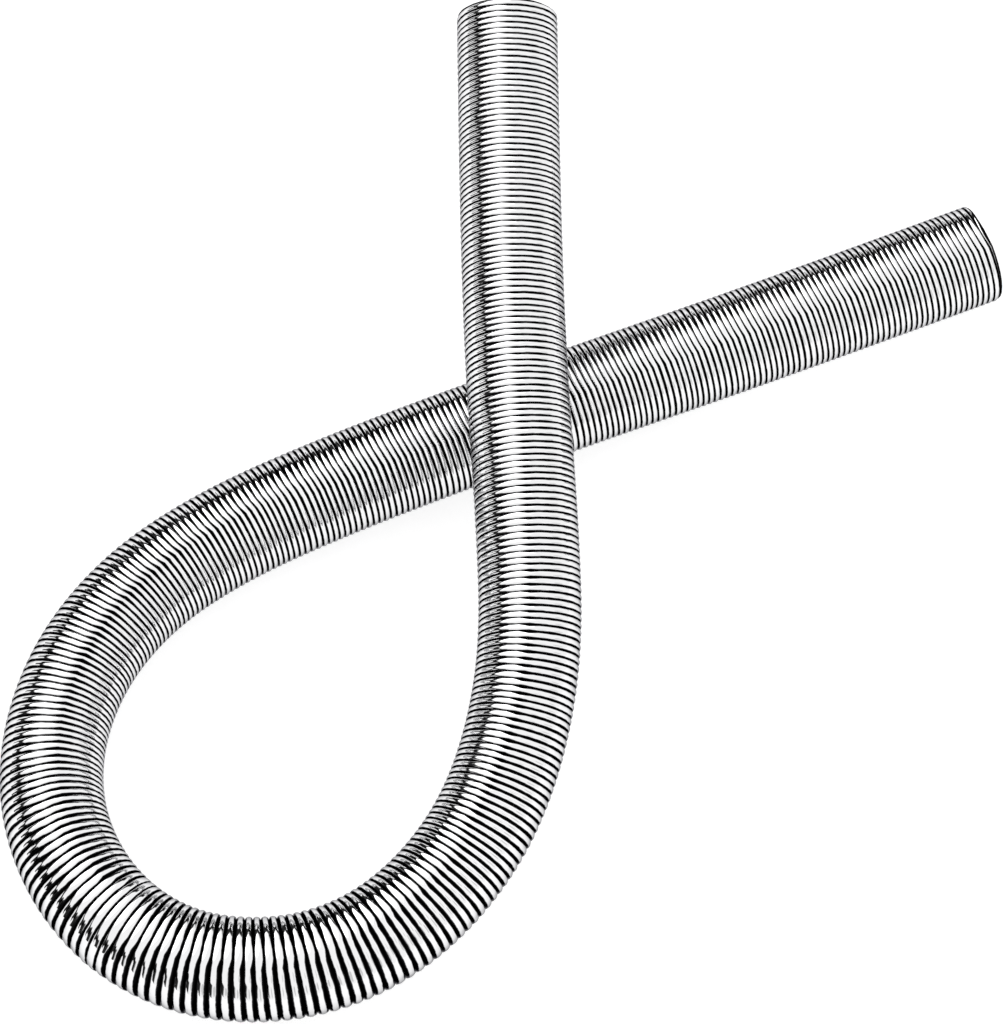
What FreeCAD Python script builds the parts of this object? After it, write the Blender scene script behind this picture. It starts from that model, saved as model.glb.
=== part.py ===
# Flexible air duct DN 80: a ribbed metal hose laid in one open loop.
# Units are millimetres and +Z is up. The duct lies on the plane z = 0 with the origin
# under the middle of its box. The lower half lies flat, the upper half climbs from the
# loop over the lower one, and its free mouth stands clear of the floor.

import FreeCAD
import Part
import Sketcher
import math
import os

Vector = FreeCAD.Vector

document = FreeCAD.newDocument("FlexibleDuct")

# Driving dimensions

sheet = document.addObject("Spreadsheet::Sheet", "Sizes")
DRIVING_SIZES = [
    ("bore_diameter", 80.0),
    ("root_wall", 0.5),
    ("rib_depth", 2.5),
    ("groove_share", 0.26),
    ("rib_count", 52),
    ("mouth_ribs", 1),
    ("opened_by", 0.55),
    ("opened_middle", 974.0),
    ("opened_reach", 300.0),
    ("crossing_gap", 0.3),
    ("ground_flat", 0.5),
]


def write_sizes(sizes, first_row):
    """Named cells, each a plain number with its alias."""
    for row, (alias, value) in enumerate(sizes, start=first_row):
        sheet.set("A%d" % row, alias)
        sheet.set("B%d" % row, str(value))
        sheet.setAlias("B%d" % row, alias)
    document.recompute()


write_sizes(DRIVING_SIZES, 1)
bore_radius = sheet.bore_diameter / 2
root_radius = bore_radius + sheet.root_wall
crest_radius = root_radius + sheet.rib_depth
rib_count = int(sheet.rib_count)
mouth_ribs = int(sheet.mouth_ribs)
resting_height = crest_radius - sheet.ground_flat
crossing_rise = 2 * crest_radius + sheet.crossing_gap

# Route of the centreline, from the raised mouth over the crossing, round the loop and
# back under the crossing to the mouth on the floor. The third value is how far the duct
# is raised off the floor, as a share of its diameter: it is 1 where it clears itself.

ROUTE = [
    (-3, 426, 1.639),
    (-1, 279, 1.36),
    (4, 118, 1.035),
    (14, -20, 0.717),
    (17, -119, 0.48),
    (4, -200, 0.29),
    (-21, -267, 0.145),
    (-59, -321, 0.046),
    (-106, -362, 0),
    (-160, -386, 0),
    (-218, -392, 0),
    (-273, -381, 0),
    (-321, -351, 0),
    (-358, -304, 0),
    (-379, -244, 0),
    (-378, -178, 0),
    (-355, -110, 0),
    (-309, -48, 0),
    (-242, 2, 0),
    (-155, 46, 0),
    (-46, 93, 0),
    (85, 145, 0),
    (236, 204, 0),
    (406, 274, 0),
]
ARC_SHARE = 0.45  # of the shorter run beside a point, taken up by the arc


class Route:
    """Straight runs joined by tangent arcs, measured along the centreline."""

    def __init__(self, points):
        self.pieces = []
        self.radii = []
        self.length = 0.0
        runs = [(b - a).Length for a, b in zip(points, points[1:])]
        here = points[0]
        for i in range(1, len(points) - 1):
            corner = points[i]
            way_in = (corner - points[i - 1]).normalize()
            way_out = (points[i + 1] - corner).normalize()
            turn = way_in.getAngle(way_out)
            setback = ARC_SHARE * min(runs[i - 1], runs[i])
            radius = setback / math.tan(turn / 2)
            self.radii.append(radius)
            self.add_run(here, corner - way_in * setback)
            self.add_arc(corner - way_in * setback, way_in, way_out, radius, turn)
            here = corner + way_out * setback
        self.add_run(here, points[-1])

    def add_run(self, start, end):
        run = end - start
        distance = run.Length
        self.pieces.append((self.length, start, run.normalize(), None, 0.0))
        self.length += distance

    def add_arc(self, start, way_in, way_out, radius, turn):
        inward = (way_out - way_in * math.cos(turn)).normalize()
        self.pieces.append((self.length, start, way_in, inward, radius))
        self.length += radius * turn

    def at(self, distance):
        """Point and direction of the centreline at a distance from the raised mouth."""
        piece = [p for p in self.pieces if p[0] <= distance][-1]
        begin, start, way, inward, radius = piece
        along = distance - begin
        if inward is None:
            return start + way * along, way
        turn = along / radius
        ahead = way * (radius * math.sin(turn))
        aside = inward * (radius * (1 - math.cos(turn)))
        return start + ahead + aside, way * math.cos(turn) + inward * math.sin(turn)

    def placement(self, distance):
        """Z runs along the duct, away from the raised mouth, and X stays level."""
        point, way = self.at(distance)
        level = Vector(0, 0, 1).cross(way)
        return FreeCAD.Placement(point, FreeCAD.Rotation(level, Vector(), way, "ZXY"))


route = Route([Vector(x, y, resting_height + raised * crossing_rise) for x, y, raised in ROUTE])
print("centreline %.1f mm, arc radii %s" % (route.length, [round(r) for r in route.radii]))

# The ribs are closed up on the straight branches and drawn apart round the loop, where
# the bend stretches the wall. FINE_STEPS only sets how closely their places are found.

FINE_STEPS = 4000


def drawn_apart(distance):
    """Pitch of the ribs here, as a multiple of their closed pitch."""
    away = (distance - sheet.opened_middle) / sheet.opened_reach
    return 1 + sheet.opened_by * math.exp(-away ** 2)


def find_rib_ends():
    """Distances from the raised mouth at which one rib ends and the next begins."""
    step = route.length / FINE_STEPS
    counted = [0.0]
    for i in range(FINE_STEPS):
        counted.append(counted[-1] + step / drawn_apart((i + 0.5) * step))
    ends = []
    i = 0
    for rib in range(rib_count + 1):
        wanted = counted[-1] * rib / rib_count
        while i < FINE_STEPS - 1 and counted[i + 1] < wanted:
            i += 1
        ends.append(step * (i + (wanted - counted[i]) / (counted[i + 1] - counted[i])))
    return ends


rib_ends = find_rib_ends()
middle_rib = min(range(rib_count), key=lambda rib: abs(rib_ends[rib] - sheet.opened_middle))

# Sizes of the straight mouths, worked out from the route and the ribs

write_sizes([
    ("mouth_length", rib_ends[mouth_ribs]),
    ("root_radius", root_radius),
    ("groove_width", rib_ends[mouth_ribs] / mouth_ribs * sheet.groove_share),
], len(DRIVING_SIZES) + 2)


def ring(distance, radius):
    """Circle round the centreline, its first point always on the level side."""
    edge = Part.Circle(Vector(), Vector(0, 0, 1), radius).toShape()
    edge.Placement = route.placement(distance)
    return Part.Wire(edge)


def ribbed_wall(first, last):
    """Wall from one rib end to another: four rings to a rib, and a bore right through."""
    rings = [ring(rib_ends[first], root_radius)]
    for rib in range(first, last):
        flank = (rib_ends[rib + 1] - rib_ends[rib]) * sheet.groove_share / 2
        rings.append(ring(rib_ends[rib] + flank, crest_radius))
        rings.append(ring(rib_ends[rib + 1] - flank, crest_radius))
        rings.append(ring(rib_ends[rib + 1], root_radius))
    bore = [ring(rib_ends[rib], bore_radius) for rib in range(first, last + 1)]
    hollow = Part.makeLoft(bore, True, True)
    around = math.pi * bore_radius ** 2 * (rib_ends[last] - rib_ends[first])
    print("bore from rib %d to %d: volume over section times length %.4f"
          % (first, last, hollow.Volume / around))
    return Part.makeLoft(rings, True, True).cut(hollow)


# The floor, to cut flat what lies on it

FLOOR_THICKNESS = 20.0
floor_reach = max(abs(value) for point in ROUTE for value in point[:2]) + 2 * crest_radius
floor = document.addObject("Part::Box", "Floor")
floor.Length = 2 * floor_reach
floor.Width = 2 * floor_reach
floor.Height = FLOOR_THICKNESS
floor.Placement.Base = Vector(-floor_reach, -floor_reach, -FLOOR_THICKNESS)


def add_half(label, first, last):
    """One half of the duct between its two mouths."""
    half = document.addObject("Part::Feature", label)
    half.Label = label
    half.Shape = ribbed_wall(first, last).cut(floor.Shape)
    return half


# How a sketch names its own axes and the ends of what is drawn in it

AXES = -1
ORIGIN = START = 1
END = 2
CENTRE = 3


def plane_of(body, role):
    return [plane for plane in body.Origin.OriginFeatures if plane.Role == role][0]


def add_wall(body):
    """Plain tube of the mouth, from its open end at the body's own origin."""
    section = body.newObject("Sketcher::SketchObject", body.Name + "Section")
    section.AttachmentSupport = [(plane_of(body, "XY_Plane"), "")]
    section.MapMode = "FlatFace"
    outside = ("Sizes.root_radius + Sizes.rib_depth", crest_radius)
    bore = ("Sizes.bore_diameter / 2", bore_radius)
    for expression, radius in (outside, bore):
        circle = section.addGeometry(Part.Circle(Vector(), Vector(0, 0, 1), radius), False)
        section.addConstraint(Sketcher.Constraint("Coincident", circle, CENTRE, AXES, ORIGIN))
        row = section.addConstraint(Sketcher.Constraint("Radius", circle, radius))
        section.setExpression("Constraints[%d]" % row, expression)
    wall = body.newObject("PartDesign::Pad", body.Name + "Wall")
    wall.Profile = section
    wall.setExpression("Length", "Sizes.mouth_length")


def add_grooves(body):
    """Grooves between the ribs: a notch that reaches past the crest, turned and repeated."""
    notch = body.newObject("Sketcher::SketchObject", body.Name + "Notch")
    notch.AttachmentSupport = [(plane_of(body, "XZ_Plane"), "")]
    notch.MapMode = "FlatFace"
    outer = crest_radius + sheet.rib_depth
    half_width = sheet.groove_width
    corners = [Vector(root_radius, 0, 0), Vector(outer, -half_width, 0), Vector(outer, half_width, 0)]
    for start, end in zip(corners, corners[1:] + corners[:1]):
        notch.addGeometry(Part.LineSegment(start, end), False)
    for line in range(3):
        notch.addConstraint(Sketcher.Constraint("Coincident", line, END, (line + 1) % 3, START))
    notch.addConstraint(Sketcher.Constraint("PointOnObject", 0, START, AXES))
    notch.addConstraint(Sketcher.Constraint("Symmetric", 1, START, 1, END, AXES))
    row = notch.addConstraint(Sketcher.Constraint("DistanceX", AXES, ORIGIN, 0, START, root_radius))
    notch.setExpression("Constraints[%d]" % row, "Sizes.root_radius")
    row = notch.addConstraint(Sketcher.Constraint("DistanceX", AXES, ORIGIN, 1, START, outer))
    notch.setExpression("Constraints[%d]" % row, "Sizes.root_radius + 2 * Sizes.rib_depth")
    row = notch.addConstraint(Sketcher.Constraint("DistanceY", 1, START, 1, END, 2 * half_width))
    notch.setExpression("Constraints[%d]" % row, "2 * Sizes.groove_width")
    groove = body.newObject("PartDesign::Groove", body.Name + "Groove")
    groove.Profile = notch
    groove.ReferenceAxis = (notch, ["V_Axis"])
    groove.Angle = 360.0
    row_of_grooves = body.newObject("PartDesign::LinearPattern", body.Name + "Grooves")
    row_of_grooves.Originals = [groove]
    row_of_grooves.Direction = (notch, ["V_Axis"])
    row_of_grooves.setExpression("Length", "Sizes.mouth_length")
    row_of_grooves.setExpression("Occurrences", "Sizes.mouth_ribs + 1")
    body.Tip = row_of_grooves


def add_mouth(label, first_rib):
    """Straight ribbed mouth into which a spigot goes."""
    body = document.addObject("PartDesign::Body", label)
    body.Label = label
    add_wall(body)
    document.recompute()
    add_grooves(body)
    document.recompute()
    body.Placement = route.placement(rib_ends[first_rib])
    return body


upper_mouth = add_mouth("upper_mouth", 0)
upper_half = add_half("upper_half", mouth_ribs, middle_rib)
lower_half = add_half("lower_half", middle_rib, rib_count - mouth_ribs)

# The lower mouth lies on the floor, so it is cut flat there like the halves.

whole_mouth = add_mouth("whole_lower_mouth", rib_count - mouth_ribs)
lower_mouth = document.addObject("Part::Cut", "lower_mouth")
lower_mouth.Label = "lower_mouth"
lower_mouth.Base = whole_mouth
lower_mouth.Tool = floor
document.recompute()

# Check and write

SUBPARTS = [upper_mouth, upper_half, lower_half, lower_mouth]

for item in document.Objects:
    if "Invalid" in item.State or "Error" in item.State:
        raise RuntimeError("%s did not build" % item.Name)
for subpart in SUBPARTS:
    shape = subpart.Shape
    if shape.isNull() or not shape.isValid() or len(shape.Solids) != 1:
        raise RuntimeError("%s is not one valid solid" % subpart.Label)

os.makedirs("parts", exist_ok=True)
for subpart in SUBPARTS:
    subpart.Shape.exportStep("parts/%s.step" % subpart.Label)

whole = Part.makeCompound([subpart.Shape for subpart in SUBPARTS])
box = whole.optimalBoundingBox()
print("box x %.2f to %.2f, y %.2f to %.2f, z %.2f to %.2f"
      % (box.XMin, box.XMax, box.YMin, box.YMax, box.ZMin, box.ZMax))
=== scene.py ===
# %% [markdown]
# A semi-rigid flexible air duct, laid in one open loop.
# The real duct is one long strip of thin aluminium. A machine corrugates the strip, winds it into a
# tube like a screw thread and laps its edges. This file makes it in the same order: first the line
# that the duct lies on, then the wound wall, then the wall laid along the line, and last its finish.
# Lengths are in metres, and distances along the duct start at its raised mouth.

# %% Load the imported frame
import bpy
import math
import numpy as np
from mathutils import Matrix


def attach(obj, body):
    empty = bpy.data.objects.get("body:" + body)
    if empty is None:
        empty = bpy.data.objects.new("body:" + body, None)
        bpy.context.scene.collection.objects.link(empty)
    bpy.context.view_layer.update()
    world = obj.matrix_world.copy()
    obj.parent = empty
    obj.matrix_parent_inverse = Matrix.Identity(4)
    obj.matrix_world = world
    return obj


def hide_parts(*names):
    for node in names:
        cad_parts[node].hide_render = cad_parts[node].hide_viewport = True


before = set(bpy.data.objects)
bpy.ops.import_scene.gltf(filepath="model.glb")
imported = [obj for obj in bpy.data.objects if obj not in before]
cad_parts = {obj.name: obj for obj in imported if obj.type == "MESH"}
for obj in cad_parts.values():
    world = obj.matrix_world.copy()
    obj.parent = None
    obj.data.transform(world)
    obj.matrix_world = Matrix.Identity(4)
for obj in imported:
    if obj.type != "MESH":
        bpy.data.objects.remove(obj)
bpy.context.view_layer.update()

# %% [markdown]
# The line that a duct lies on could be drawn as straight runs with rounded corners, but a stiff hose
# has no straight runs: its bend grows and fades evenly. So its line is one NURBS curve, whose control
# points are the route's points. It comes down from the raised mouth, passes over the duct's own lower
# branch, turns round the loop on the floor and ends at the second mouth. Each point has x, y and a
# height: 0 rests on the floor, and 1 is the rise that lifts the upper branch clear of the lower one.
# The line rests half a millimetre lower than the crests' radius, so they press a little flat there.
# Blender turns the curve to a mesh of short edges, whose points are the path that the rest follows.

# %% The route as control points
DIAMETER = 0.086
RESTING = 0.0425
RISE = 0.0863

ROUTE = [
    (-0.003, 0.426, 1.639),
    (-0.001, 0.279, 1.36),
    (0.004, 0.118, 1.035),
    (0.014, -0.020, 0.717),
    (0.017, -0.119, 0.48),
    (0.004, -0.200, 0.29),
    (-0.021, -0.267, 0.145),
    (-0.059, -0.321, 0.046),
    (-0.106, -0.362, 0),
    (-0.160, -0.386, 0),
    (-0.218, -0.392, 0),
    (-0.273, -0.381, 0),
    (-0.321, -0.351, 0),
    (-0.358, -0.304, 0),
    (-0.379, -0.244, 0),
    (-0.378, -0.178, 0),
    (-0.355, -0.110, 0),
    (-0.309, -0.048, 0),
    (-0.242, 0.002, 0),
    (-0.155, 0.046, 0),
    (-0.046, 0.093, 0),
    (0.085, 0.145, 0),
    (0.236, 0.204, 0),
    (0.406, 0.274, 0),
]
route = [(x, y, RESTING + share * RISE) for x, y, share in ROUTE]

# %% Read the line from its curve
line = bpy.data.curves.new("duct_line", "CURVE")
line.dimensions = "3D"
spline = line.splines.new("NURBS")
spline.points.add(len(route) - 1)
for point, place in zip(spline.points, route):
    point.co = (*place, 1)
spline.order_u = 3
spline.use_endpoint_u = True
spline.resolution_u = 40
line_object = bpy.data.objects.new("duct_line", line)
bpy.context.scene.collection.objects.link(line_object)
line_mesh = bpy.data.meshes.new_from_object(line_object)
path = np.array([v.co[:] for v in line_mesh.vertices])
bpy.data.objects.remove(line_object)
bpy.data.meshes.remove(line_mesh)

along = np.concatenate([[0], np.cumsum(np.linalg.norm(np.diff(path, axis=0), axis=1))])
length = float(along[-1])
print("points on the line", len(path), "length", round(length, 4))

# %% [markdown]
# A straight duct has one rib in every 5 mm or so. Where it is bent, the strip's folds are drawn apart,
# over the whole bow and most at the bottom of the loop. Hands don't draw a duct apart evenly either,
# so three waves, 24 to 65 mm long and written in radians to the metre, vary it by a few hundredths.
# The table from turns to distance holds all that: it counts how much closed-up duct lies before each
# distance, in closed-up ribs.

# %% Where each turn of the strip lies
TURNS = 378
LOOP_MIDDLE = 0.959
BOW_DRAWN = 0.25
BOW_REACH = 0.445
BOTTOM_DRAWN = 0.32
BOTTOM_REACH = 0.197
UNEVEN = [(0.03, 151, 0), (0.03, 97, 2), (0.02, 263, 1)]


def drawn_apart(distance):
    """How much wider than closed up the ribs stand at a distance along the duct."""
    off = np.abs(distance - LOOP_MIDDLE)
    drawn = BOW_DRAWN * np.exp(-(off / BOW_REACH) ** 2)
    drawn += BOTTOM_DRAWN * np.exp(-(off / BOTTOM_REACH) ** 4)
    for share, per_metre, shift in UNEVEN:
        drawn += share * np.sin(distance * per_metre + shift)
    return 1 + drawn


fine = np.linspace(0, length, 4000)
closed_up = np.diff(fine) / drawn_apart((fine[1:] + fine[:-1]) / 2)
closed_so_far = np.concatenate([[0], np.cumsum(closed_up)])
closed_pitch = float(closed_so_far[-1] / TURNS)
turns_so_far = closed_so_far / closed_pitch
print("closed-up pitch", round(closed_pitch * 1000, 2), "mm")

# %% [markdown]
# The strip's profile is one corrugation wide: a narrow fold, a rounded crest and the next fold. A
# lathe-like spin would give separate rings. The Screw modifier gives what the winding machine does,
# one continuous right-handed thread. The profile is drawn out of a plane merged to one point, which is
# extruded from place to place. The outer and the inner side of the wall are wound apart from each
# other, so that the hidden inner side can do with fewer faces: 194,000 triangles in all. One spare
# turn at each end leaves something to cut off.

# %% Wind a sheet from its profile
CREST = DIAMETER / 2
SPARE = 1
MERGE_WITHIN = 0.00002


def wind(name, profile, around):
    """Extrude a profile of (share of the pitch, depth under the crest) and wind it round Z."""
    bpy.ops.object.select_all(action="DESELECT")
    bpy.ops.mesh.primitive_plane_add(size=0.01)
    sheet = bpy.context.object
    sheet.name = name
    bpy.ops.object.mode_set(mode="EDIT")
    bpy.ops.mesh.select_all(action="SELECT")
    bpy.ops.mesh.merge(type="CENTER")
    share, depth = profile[0]
    bpy.ops.transform.translate(value=(CREST - depth, 0, share * closed_pitch))
    for next_share, next_depth in profile[1:]:
        step = (depth - next_depth, 0, (next_share - share) * closed_pitch)
        bpy.ops.mesh.extrude_region_move(TRANSFORM_OT_translate={"value": step})
        share, depth = next_share, next_depth
    bpy.ops.object.mode_set(mode="OBJECT")
    winding = sheet.modifiers.new("winding", "SCREW")
    winding.axis = "Z"
    winding.angle = 2 * math.pi
    winding.screw_offset = closed_pitch
    winding.iterations = TURNS + 2 * SPARE
    winding.steps = winding.render_steps = around
    bpy.ops.object.modifier_apply(modifier="winding")
    bpy.ops.object.mode_set(mode="EDIT")
    bpy.ops.mesh.select_all(action="SELECT")
    bpy.ops.mesh.remove_doubles(threshold=MERGE_WITHIN)
    bpy.ops.object.mode_set(mode="OBJECT")
    print(name, len(sheet.data.vertices), "points", len(sheet.data.polygons), "faces")
    return sheet


# %% The outer and the inner side
AROUND = 32
AROUND_INSIDE = 16
OUTER_PROFILE = [
    (0.00, 0.0024),
    (0.06, 0.00105),
    (0.17, 0.00042),
    (0.38, 0.00003),
    (0.62, 0.00003),
    (0.83, 0.00042),
    (0.94, 0.00105),
    (1.00, 0.0024),
]
INNER_PROFILE = [
    (0.00, 0.0032),
    (0.50, 0.0027),
    (1.00, 0.0032),
]
outer_sheet = wind("outer_sheet", OUTER_PROFILE, AROUND)
inner_sheet = wind("inner_sheet", INNER_PROFILE, AROUND_INSIDE)

# %% [markdown]
# A duct is cut to length with a knife, square to its axis, so the cut runs across one corrugation on
# its way round. Both sheets are joined and cut flat at both ends with bisect, a sliver of a turn off
# the whole turns, where the cut doesn't run through wound points. Fill closes the narrow ring between
# the two cut edges and leaves the bore open. Bridging would also close the ring, but on two loops
# with one centre it may join each point to one across the bore.

# %% Join, cut square and close the ends
SLIVER = 0.004

bpy.ops.object.select_all(action="DESELECT")
outer_sheet.select_set(True)
inner_sheet.select_set(True)
bpy.context.view_layer.objects.active = outer_sheet
bpy.ops.object.join()
wall = outer_sheet
wall.name = "duct_wall"
bpy.ops.object.mode_set(mode="EDIT")
for cut_turn, cut_facing in ((SPARE + SLIVER, -1), (SPARE + TURNS - SLIVER, 1)):
    bpy.ops.mesh.select_all(action="SELECT")
    bpy.ops.mesh.bisect(
        plane_co=(0, 0, cut_turn * closed_pitch),
        plane_no=(0, 0, cut_facing),
        clear_outer=True,
        threshold=0.000001,
    )
    bpy.ops.mesh.fill()
bpy.ops.mesh.select_all(action="SELECT")
bpy.ops.mesh.normals_make_consistent(inside=False)
bpy.ops.object.mode_set(mode="OBJECT")

# %% [markdown]
# In a closed wall every edge is shared by exactly two faces, so that is counted. A mesh hands out one
# field of all its items at once, which is far quicker than asking them one by one.

# %% Check that the wall is closed


def field_of(items, field, per_item=1, kind=np.float64):
    """One field of all of a mesh's items, as an array with a value or a row for each item."""
    values = np.empty(len(items) * per_item, dtype=kind)
    items.foreach_get(field, values)
    return values.reshape(-1, per_item) if per_item > 1 else values


mesh = wall.data
edge_of_corner = field_of(mesh.loops, "edge_index", kind=np.int32)
edge_uses = np.bincount(edge_of_corner, minlength=len(mesh.edges))
print("wall", len(mesh.polygons), "faces")
print("edges not shared by two faces", int((edge_uses != 2).sum()))

# %% [markdown]
# The finish needs to know where on the strip it is. The wall is unrolled while it is still straight:
# u counts the turns along the strip, and v runs across it from one fold to the next. All corners of
# a face count from the face's own centre, so no face is smeared back over a whole turn.

# %% Read the straight wall
places = field_of(mesh.vertices, "co", 3)
angle = np.arctan2(places[:, 1], places[:, 0])
part_turn = angle / (2 * math.pi)
turn = places[:, 2] / closed_pitch
radius = np.hypot(places[:, 0], places[:, 1])

# %% Unroll the strip into a UV map
corners = field_of(mesh.polygons, "loop_total", kind=np.int32)
corner_vertex = field_of(mesh.loops, "vertex_index", kind=np.int32)
face_centres = field_of(mesh.polygons, "center", 3)
centres = np.repeat(face_centres, corners, axis=0)
face_part = np.arctan2(centres[:, 1], centres[:, 0]) / (2 * math.pi)
corner_part = part_turn[corner_vertex]
corner_part += np.round(face_part - corner_part)
strip_turn = np.floor(centres[:, 2] / closed_pitch - face_part) + corner_part
across = turn[corner_vertex] - strip_turn
uv = mesh.uv_layers.new(name="strip")
uv.data.foreach_set("uv", np.stack([strip_turn, across], axis=1).ravel())
print("strip turns", strip_turn.min().round(2), strip_turn.max().round(2))
print("across the strip", across.min().round(2), across.max().round(2))

# %% Tell the inner faces from the outer ones
facing = field_of(mesh.polygons, "normal", 3)
inner_face = np.einsum("ij,ij->i", facing[:, :2], face_centres[:, :2]) < 0
mesh.polygons.foreach_set("material_index", inner_face.astype(np.int32))
print("inner faces", int(inner_face.sum()), "of", len(inner_face))

# %% [markdown]
# Bending with a Curve modifier would stretch every part of the wall alike. In the real wall the crests
# keep their width and the folds take up the bend: they gape on the outside and close on the inside.
# So each point is placed by its distance along the line, in a frame that keeps its side level, and
# its fold is opened by as much as the wall is drawn apart there.

# %% Frames along the line
tangent = np.gradient(path, along, axis=0)
tangent /= np.linalg.norm(tangent, axis=1)[:, None]
bend = np.gradient(tangent, along, axis=0)


def at(values, distance):
    """The value that a table along the line has at each distance."""
    return np.stack([np.interp(distance, along, values[:, i]) for i in range(3)], axis=1)


def frame_at(distance):
    """Place, level side and upward side of the line at each distance."""
    forward = at(tangent, distance)
    side = np.cross([0.0, 0.0, 1.0], forward)
    side /= np.linalg.norm(side, axis=1)[:, None]
    return at(path, distance), side, np.cross(forward, side)


def spoke_of(side, up):
    """The way from the line out to each point of the wall, as a unit vector."""
    return np.cos(angle)[:, None] * side + np.sin(angle)[:, None] * up


# %% [markdown]
# The folds don't stand open alike. Along the top, as if the duct had been pressed in its box, they are
# nearly shut, and just beside that shut band they are at their widest. The widths were measured on
# the photograph, section by section. Each row has the distance along the duct, how far the folds
# stand open, how much wider they are beside the band, the band's near and far edge as angles from
# the top, and how far its crests are pushed along, as a share of the pitch.

# %% How far the folds stand open along the duct
FOLDS = np.array([
    (0.07, 0.00, 0.1, 0.14, -0.24, 0.10),
    (0.33, 0.02, 0.2, 0.14, -0.24, 0.10),
    (0.46, 0.06, 0.4, 0.14, -0.28, 0.10),
    (0.58, 0.25, 0.6, 0.13, -0.34, 0.10),
    (0.69, 0.35, 0.7, 0.13, -0.34, 0.12),
    (0.79, 0.50, 0.5, 0.18, -0.30, 0.12),
    (0.90, 0.75, 0.1, 0.24, -0.24, 0.12),
    (1.00, 0.62, 0.0, 0.24, -0.24, 0.12),
    (1.10, 0.50, 0.0, 0.24, -0.24, 0.15),
    (1.21, 0.20, 0.5, 0.24, -0.24, 0.20),
    (1.32, 0.35, 0.7, 0.24, -0.24, 0.30),
    (1.57, 0.42, 0.3, 0.24, -0.24, 0.35),
    (2.12, 0.33, 0.0, 0.24, -0.24, 0.35),
])

# %% [markdown]
# The shut band doesn't lie quite on top. How far it leans depends on the way that the duct's level
# side faces there. So does which flank has the band's near edge: it is the one that faces the front
# right, and the two change places within a short stretch. The band's edges are soft. The crests are
# pushed along from the near edge on, and come back into line down the far flank.

# %% Where the shut band lies round the duct
LEANS = np.array([-0.2, -0.083, 0])
FRONT_RIGHT = np.array([0.75, -0.66, 0])
FLANKS_SWAP = 4
NEAR_EDGE_SOFT = 0.07
FAR_EDGE_SOFT = 0.14
WIDEST_OVER = 0.1
PUSH_STARTS = -1.3
PUSHED_FULL = -0.1


def fade(nothing, full, values):
    """From 0 at one value to 1 at the other, with soft ends."""
    share = np.clip((values - nothing) / (full - nothing), 0, 1)
    return share * share * (3 - 2 * share)


turn -= SPARE
distance = np.interp(turn, turns_so_far, fine)
side, up = frame_at(distance)[1:]
open_here, beside, near_edge, far_edge, pushed = (
    np.interp(distance, FOLDS[:, 0], FOLDS[:, column]) for column in range(1, 6))
from_top = np.arctan2(np.cos(angle), np.sin(angle)) - side @ LEANS
from_top *= np.clip(FLANKS_SWAP * side @ FRONT_RIGHT, -1, 1)
past_near = fade(near_edge, near_edge - NEAR_EDGE_SOFT, from_top)
shut = past_near * fade(far_edge, far_edge + FAR_EDGE_SOFT, from_top)
beside *= np.exp(-((from_top - near_edge - NEAR_EDGE_SOFT) / WIDEST_OVER) ** 2)
pushed *= past_near * fade(PUSH_STARTS, PUSHED_FULL, from_top)
print("points in the shut band", int((shut > 0.5).sum()), "of", len(shut))

# %% [markdown]
# A gape above 0 widens a point's fold and narrows its crest, and one below 0 does the reverse. At 1
# the points would run into each other, so it stops short of that. Where the duct is bent, the wall's
# stretch there counts as well. Each cut end gets a rounded rim: over the last few millimetres the
# wall is turned in.

# %% How far each point's fold gapes
BEND_TAKEN_UP = 0.3
SHUT_BY = 0.72
GAPE_LIMIT = 0.93

stretch = 1 - radius * np.einsum("ij,ij->i", at(bend, distance), spoke_of(side, up))
gape = open_here + beside + BEND_TAKEN_UP * (stretch - 1) - SHUT_BY * shut
gape = np.clip(gape, -GAPE_LIMIT, GAPE_LIMIT)
print("folds open from", round(float(gape.min()), 2), "to", round(float(gape.max()), 2))

# %% Lay the wall along the line
RIM = 0.004
RIM_TURNED_IN = 0.0025

turn += gape * np.sin(2 * math.pi * (turn - part_turn)) / (2 * math.pi)
turn -= pushed
laid_at = np.interp(turn, turns_so_far, fine)
to_rim = np.clip(np.minimum(laid_at, length - laid_at) / RIM, 0, 1)
radius -= RIM_TURNED_IN * (1 - np.sqrt(1 - (1 - to_rim) ** 2))
place, side, up = frame_at(laid_at)
laid = place + radius[:, None] * spoke_of(side, up)
laid[:, 2] = np.maximum(laid[:, 2], 0)
mesh.vertices.foreach_set("co", laid.ravel())
mesh.update()
print("laid from", laid.min(axis=0).round(4), "to", laid.max(axis=0).round(4))

# %% [markdown]
# The faces of a crest meet at small angles and are smoothed into one round surface. In a fold and at
# the cut ends they meet more sharply and stay crisp.

# %% Smooth the crests and keep the folds crisp
SHARP_FROM = 62

bpy.ops.object.select_all(action="DESELECT")
wall.select_set(True)
bpy.context.view_layer.objects.active = wall
bpy.ops.object.shade_smooth_by_angle(angle=math.radians(SHARP_FROM))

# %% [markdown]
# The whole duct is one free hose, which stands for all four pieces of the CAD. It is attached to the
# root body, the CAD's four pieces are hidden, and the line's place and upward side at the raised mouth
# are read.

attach(wall, "root")
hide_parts("upper_mouth", "upper_half", "lower_half", "lower_mouth")
mouth_place, _, mouth_up = frame_at(np.array([0.0]))

# %% [markdown]
# Each material starts from what the real one is. Colours are written as sRGB hex values, as a paint
# chart gives them, and one function turns them to the linear values that the shader wants.

# %% Colours and a node helper


def linear(colour):
    """An sRGB hex colour such as #c8c8cc as linear red, green, blue and alpha."""
    parts = [int(colour[i:i + 2], 16) / 255 for i in (1, 3, 5)]
    return [p / 12.92 if p <= 0.04045 else ((p + 0.055) / 1.055) ** 2.4 for p in parts] + [1]


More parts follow.
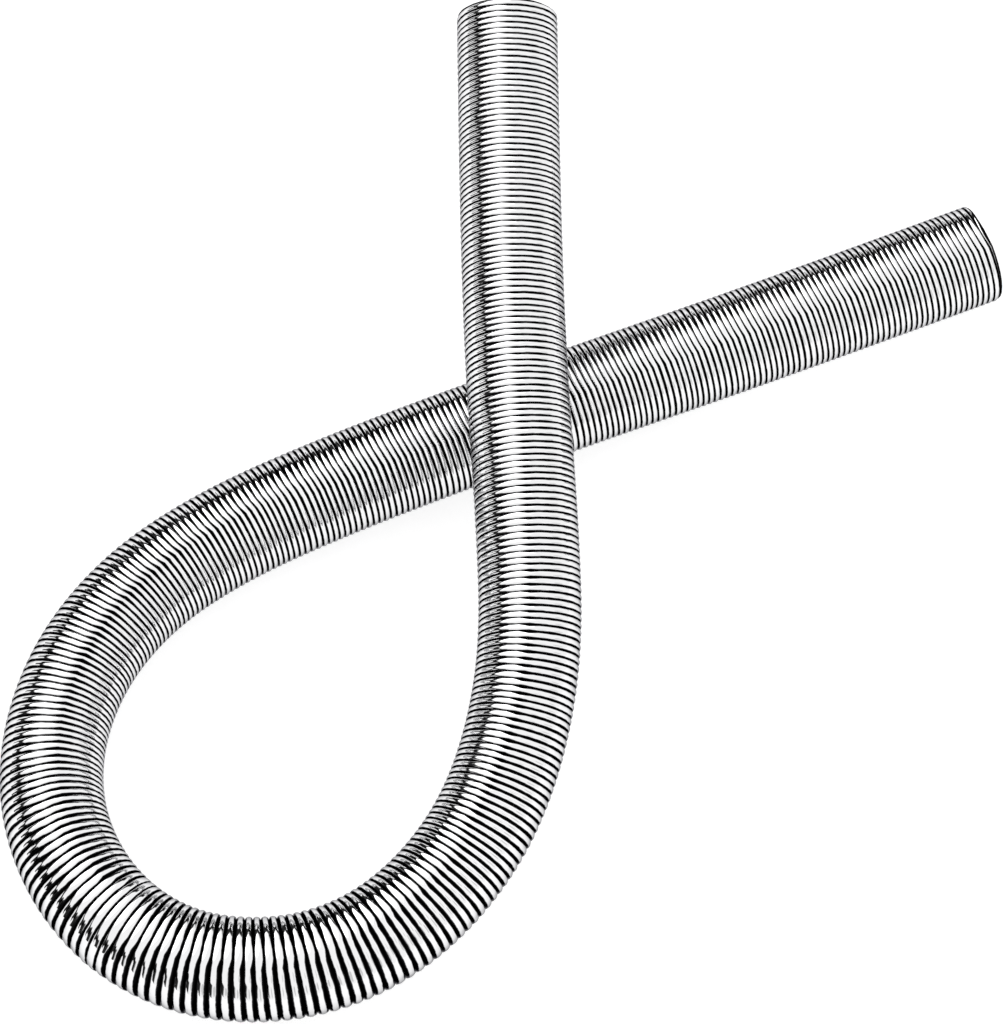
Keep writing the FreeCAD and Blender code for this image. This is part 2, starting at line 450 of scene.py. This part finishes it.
def add(tree, kind, links=(), values=(), **settings):
    """Add a node with its settings, its input values and its input links."""
    node = tree.nodes.new(kind)
    for name, value in settings.items():
        setattr(node, name, value)
    for name, value in values:
        node.inputs[name].default_value = value
    for name, source in links:
        tree.links.new(source, node.inputs[name])
    return node


# %% [markdown]
# The wall is bright rolled aluminium strip. Light hardly gets out of its deep folds, so their shade is
# painted on as black. The black follows the strip's own v, so it lies in the fold from every side: a
# ping-pong of v gives the share of the pitch from the nearest fold. The edge of the painted shade
# wanders a little, in a noise of 90 to the metre, which is patches of about 11 mm.

# %% Painted shade: black folds in the bright strip
EDGE_WANDERS = 0.03

aluminium = bpy.data.materials.new("bright_rolled_aluminium")
aluminium.use_nodes = True
tree = aluminium.node_tree
tree.nodes.clear()
strip = add(tree, "ShaderNodeUVMap", uv_map="strip")
spot = add(tree, "ShaderNodeTexCoord")
on_strip = add(tree, "ShaderNodeSeparateXYZ", links=[("Vector", strip.outputs["UV"])])
from_fold = add(tree, "ShaderNodeMath", operation="PINGPONG", links=[
    (0, on_strip.outputs["Y"])], values=[(1, 0.5)])
wander = add(tree, "ShaderNodeTexNoise", links=[("Vector", spot.outputs["Object"])], values=[
    ("Scale", 90), ("Detail", 3), ("Roughness", 0.6)])
drift = add(tree, "ShaderNodeMapRange", links=[("Value", wander.outputs["Fac"])], values=[
    ("From Min", 0.3), ("From Max", 0.7), ("To Min", -EDGE_WANDERS), ("To Max", EDGE_WANDERS)])
# painted shade: how far each point lies from the black that is painted into its fold
from_fold_shade = add(tree, "ShaderNodeMath", operation="ADD", links=[
    (0, from_fold.outputs[0]), (1, drift.outputs["Result"])])

# %% [markdown]
# The cut ends get painted shade too, as shade where the rim is turned in. u and v add up to the
# distance along the straight wall in turns, so they tell how near a cut end is. The lesser of the
# distances from a fold and from a cut end counts.

# %% Painted shade on the cut ends too
PAINTED_RIM_SHADE = 0.3

turns_on = add(tree, "ShaderNodeMath", operation="ADD", links=[
    (0, on_strip.outputs["X"]), (1, on_strip.outputs["Y"])])
past_first = add(tree, "ShaderNodeMath", operation="SUBTRACT", links=[
    (0, turns_on.outputs[0])], values=[(1, SPARE + PAINTED_RIM_SHADE)])
to_last = add(tree, "ShaderNodeMath", operation="SUBTRACT", links=[
    (1, turns_on.outputs[0])], values=[(0, SPARE + TURNS - PAINTED_RIM_SHADE)])
to_cut = add(tree, "ShaderNodeMath", operation="MINIMUM", links=[
    (0, past_first.outputs[0]), (1, to_last.outputs[0])])
# painted shade: the nearer of a fold and a cut end sets how dark the colour is painted
from_painted_shade = add(tree, "ShaderNodeMath", operation="MINIMUM", links=[
    (0, from_fold_shade.outputs[0]), (1, to_cut.outputs[0])])

# %% From painted black shade over grey to bright
BLACK_TO = 0.10
GREY_AT = 0.15
BRIGHT_FROM = 0.18

# the ramp paints the folds' shade black, the edge of that shade grey and the crests bright aluminium
tone = add(tree, "ShaderNodeValToRGB", links=[("Fac", from_painted_shade.outputs[0])])
stops = tone.color_ramp.elements
stops[0].position = BLACK_TO
stops[0].color = linear("#0a0a0b")
stops[1].position = BRIGHT_FROM
stops[1].color = linear("#f4f4f5")
# grey edge of the painted fold shade
shade_edge_grey = stops.new(GREY_AT)
shade_edge_grey.color = linear("#39393b")

# %% [markdown]
# The round crests are nearly mirrors, which slight dents and a weaker grain bend a little. Both are
# bumps of a millimetre at most: the dents are some 18 mm wide and the grain's waves some 4 mm.

# %% Mirror crests with slight dents
GRAIN_SHARE = 0.03
BUMP_HEIGHT = 0.0010

dents = add(tree, "ShaderNodeTexNoise", links=[("Vector", spot.outputs["Object"])], values=[
    ("Scale", 55), ("Detail", 1.5)])
grain = add(tree, "ShaderNodeTexNoise", links=[("Vector", spot.outputs["Object"])], values=[
    ("Scale", 260), ("Detail", 2)])
waves = add(tree, "ShaderNodeMath", operation="MULTIPLY_ADD", links=[
    (0, grain.outputs["Fac"]), (2, dents.outputs["Fac"])], values=[(1, GRAIN_SHARE)])
bump = add(tree, "ShaderNodeBump", links=[("Height", waves.outputs[0])], values=[
    ("Strength", 1.0), ("Distance", BUMP_HEIGHT)])
metal = add(tree, "ShaderNodeBsdfPrincipled", links=[
    ("Base Color", tone.outputs["Color"]), ("Normal", bump.outputs["Normal"])], values=[
    ("Metallic", 1.0), ("Roughness", 0.05), ("Specular Tint", linear("#a0a0a2"))])
add(tree, "ShaderNodeOutputMaterial", links=[("Surface", metal.outputs["BSDF"])])

# %% [markdown]
# The inner side never touches the polished roll and is dull. It is a second material, on the faces
# that point at the duct's axis.

# %% Dull inner side
dull = bpy.data.materials.new("dull_rolled_aluminium")
dull.use_nodes = True
tree = dull.node_tree
tree.nodes.clear()
foil = add(tree, "ShaderNodeBsdfPrincipled", values=[
    ("Base Color", linear("#b4b5b7")), ("Metallic", 0.6), ("Roughness", 0.5)])
add(tree, "ShaderNodeOutputMaterial", links=[("Surface", foil.outputs["BSDF"])])
wall.data.materials.append(aluminium)
wall.data.materials.append(dull)
print("materials", [material.name for material in wall.data.materials])

# %% [markdown]
# The floor is a plain pale sheet. To camera and mirror rays it adds light of its own, which brings it
# to the white of a well lit backdrop. The rest of its brightness is real light, so the duct's soft
# shadow stays.

# %% Pale floor
FLOOR_WIDTH = 2.6
MIRROR_GLOW = 0.9
CAMERA_GLOW = 0.68

bpy.ops.object.select_all(action="DESELECT")
bpy.ops.mesh.primitive_plane_add(size=FLOOR_WIDTH)
floor = bpy.context.object
floor.name = "floor"
paper = bpy.data.materials.new("white_backdrop_paper")
paper.use_nodes = True
tree = paper.node_tree
tree.nodes.clear()
rays = add(tree, "ShaderNodeLightPath")
mirrored = add(tree, "ShaderNodeMath", operation="MAXIMUM", links=[
    (0, rays.outputs["Is Glossy Ray"]), (1, rays.outputs["Is Transmission Ray"])])
mirror_glow = add(tree, "ShaderNodeMath", operation="MULTIPLY", links=[
    (0, mirrored.outputs[0])], values=[(1, MIRROR_GLOW)])
glow_share = add(tree, "ShaderNodeMath", operation="MULTIPLY_ADD", links=[
    (0, rays.outputs["Is Camera Ray"]), (2, mirror_glow.outputs[0])], values=[(1, CAMERA_GLOW)])
colour = add(tree, "ShaderNodeMix", data_type="RGBA", links=[
    ("Factor", mirrored.outputs[0])], values=[(6, linear("#c9c9c9")), (7, linear("#808080"))])
matt = add(tree, "ShaderNodeBsdfDiffuse", links=[("Color", colour.outputs[2])])
glow = add(tree, "ShaderNodeEmission", values=[("Color", (1, 1, 1, 1))], links=[
    ("Strength", glow_share.outputs[0])])
both = add(tree, "ShaderNodeAddShader", links=[(0, matt.outputs[0]), (1, glow.outputs[0])])
add(tree, "ShaderNodeOutputMaterial", links=[("Surface", both.outputs[0])])
floor.data.materials.append(paper)

# %% [markdown]
# A mirror shows its surroundings, so the light and dark on the duct are the room's. The room is a
# white tent. Low down on the left and at the back it is unlit, which draws the dark streak along the
# duct's left flank. The unlit part is whatever lies both below a height and on that side, which is
# found by how squarely a ray goes towards its middle: 1 is straight at it and 0 is side on. Angles
# are in degrees, and compass angles are counted anticlockwise from the right.

# %% The unlit part of the room
UNLIT_UP_TO = 20
LIT_ABOVE = 25
UNLIT_TOWARDS = math.radians(150)
UNLIT_SQUARER_THAN = 0.05
LIT_BELOW = -0.2

world = bpy.data.worlds.new("studio")
bpy.context.scene.world = world
world.use_nodes = True
tree = world.node_tree
tree.nodes.clear()
rays = add(tree, "ShaderNodeLightPath")
way = add(tree, "ShaderNodeTexCoord")
height_up = add(tree, "ShaderNodeSeparateXYZ", links=[("Vector", way.outputs["Generated"])])
low = add(tree, "ShaderNodeMapRange", interpolation_type="SMOOTHSTEP", links=[
    ("Value", height_up.outputs["Z"])], values=[
    ("From Min", math.sin(math.radians(LIT_ABOVE))),
    ("From Max", math.sin(math.radians(UNLIT_UP_TO)))])
squarely = add(tree, "ShaderNodeVectorMath", operation="DOT_PRODUCT", links=[
    (0, way.outputs["Generated"])], values=[
    (1, (math.cos(UNLIT_TOWARDS), math.sin(UNLIT_TOWARDS), 0))])
unlit_side = add(tree, "ShaderNodeMapRange", interpolation_type="SMOOTHSTEP", links=[
    ("Value", squarely.outputs["Value"])], values=[
    ("From Min", LIT_BELOW), ("From Max", UNLIT_SQUARER_THAN)])
unlit = add(tree, "ShaderNodeMath", operation="MULTIPLY", links=[
    (0, low.outputs["Result"]), (1, unlit_side.outputs["Result"])]).outputs[0]

# %% [markdown]
# Light comes through four gaps in the unlit part and keeps the middle of each crest white. A few more
# patches are darker or brighter than the tent. Gaps and patches are round, and each lies at a compass
# angle and a height in the room.

# %% A round place in the room


def round_place(turned, height, reach, core, strength):
    """1 all over the room, but strength within core degrees of a place, with an edge out to reach."""
    level = math.cos(math.radians(height))
    centre = (
        math.cos(math.radians(turned)) * level,
        math.sin(math.radians(turned)) * level,
        math.sin(math.radians(height)),
    )
    towards = add(tree, "ShaderNodeVectorMath", operation="DOT_PRODUCT", links=[
        (0, way.outputs["Generated"])], values=[(1, centre)])
    return add(tree, "ShaderNodeMapRange", interpolation_type="SMOOTHSTEP", links=[
        ("Value", towards.outputs["Value"])], values=[
        ("From Min", math.cos(math.radians(reach))), ("From Max", math.cos(math.radians(core))),
        ("To Min", 1.0), ("To Max", strength)]).outputs["Result"]


# %% Gaps of (compass angle, reach), level with the duct
GAPS = [(168, 13), (132, 8), (105, 10), (205, 10)]
GAP_EDGE = 2
UNLIT_STRENGTH = 0.02

for turned, reach in GAPS:
    unlit = add(tree, "ShaderNodeMath", operation="MULTIPLY", links=[
        (0, unlit), (1, round_place(turned, 0, reach, reach - GAP_EDGE, 0.0))]).outputs[0]
light = add(tree, "ShaderNodeMapRange", links=[("Value", unlit)], values=[
    ("To Min", 1.0), ("To Max", UNLIT_STRENGTH)]).outputs["Result"]

# %% Patches of (compass angle, height, reach, strength)
PATCHES = [
    (128, 48, 36, 2.4),
    (81, 16, 10, 0.4),
    (144, 16, 9, 0.05),
    (212, 19, 11, 0.05),
    (276, 12, 13, 0.65),
    (304, 41, 10, 0.8),
    (341, 17, 13, 0.75),
]
PATCH_CORE = 0.7

for turned, height, reach, strength in PATCHES:
    light = add(tree, "ShaderNodeMath", operation="MULTIPLY", links=[
        (0, light), (1, round_place(turned, height, reach, PATCH_CORE * reach, strength))]).outputs[0]
print("gaps", len(GAPS), "patches", len(PATCHES))

# %% [markdown]
# Only mirror rays see the room's light and dark. Camera rays and soft light get plain white, so the
# background stays clean and the shadows stay soft.

# %% Show the room to mirror rays only
brightness = add(tree, "ShaderNodeMix", data_type="FLOAT", links=[
    ("Factor", rays.outputs["Is Glossy Ray"]), ("B", light)], values=[("A", 1.0)])
sky = add(tree, "ShaderNodeBackground", values=[("Color", (1, 1, 1, 1))], links=[
    ("Strength", brightness.outputs[0])])
add(tree, "ShaderNodeOutputWorld", links=[("Surface", sky.outputs[0])])

# %% [markdown]
# The photograph looks down at 63.5 degrees below the horizon, which is 26.5 from straight down, from
# about 5 m away through a long lens.

# %% Camera at the photograph's viewing angle
CAMERA_PLACE = (-0.00774, -2.2294, 4.5636)
FROM_STRAIGHT_DOWN = math.radians(26.5)
LENS_MM = 210.94
SENSOR_MM = 36

camera_data = bpy.data.cameras.new("camera")
camera_data.sensor_width = SENSOR_MM
camera_data.lens = LENS_MM
camera = bpy.data.objects.new("camera", camera_data)
camera.location = CAMERA_PLACE
camera.rotation_euler = (FROM_STRAIGHT_DOWN, 0, 0)
bpy.context.scene.collection.objects.link(camera)
bpy.context.scene.camera = camera
bpy.context.scene.view_settings.view_transform = "Standard"
